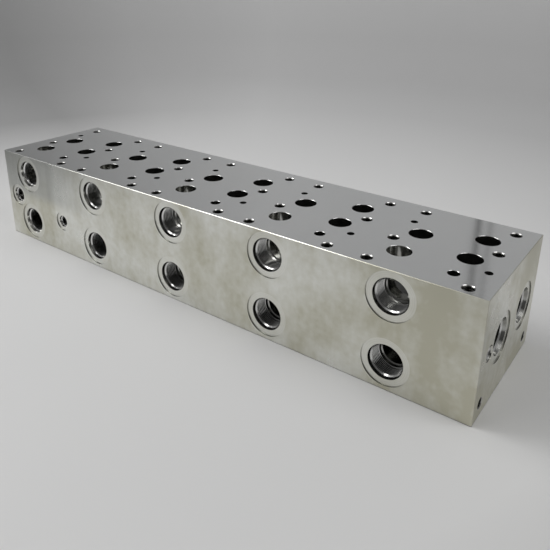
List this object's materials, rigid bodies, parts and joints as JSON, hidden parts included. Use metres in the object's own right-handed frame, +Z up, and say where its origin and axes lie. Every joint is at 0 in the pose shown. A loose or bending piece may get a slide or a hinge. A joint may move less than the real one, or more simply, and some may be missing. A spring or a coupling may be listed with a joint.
{
  "type": "hydraulic manifold block",
  "caption": "Long machined aluminium block with valve stations along its top, threaded ports in its front and ends, and drilled galleries that cross inside.",
  "frame": {"origin": "centre of the base, where the block stands", "axes": "+X along the bar towards the end with the drain port, -Y out of the front face with the service ports, +Z up out of the valve face"},
  "size_m": [0.6668, 0.1588, 0.1207],
  "materials": {
    "machined_aluminium": "bare machined aluminium, satin on the sides and smoother on the valve face"
  },
  "bodies": {
    "root": {"manifold_block": "machined_aluminium"}
  },
  "joints": []
}
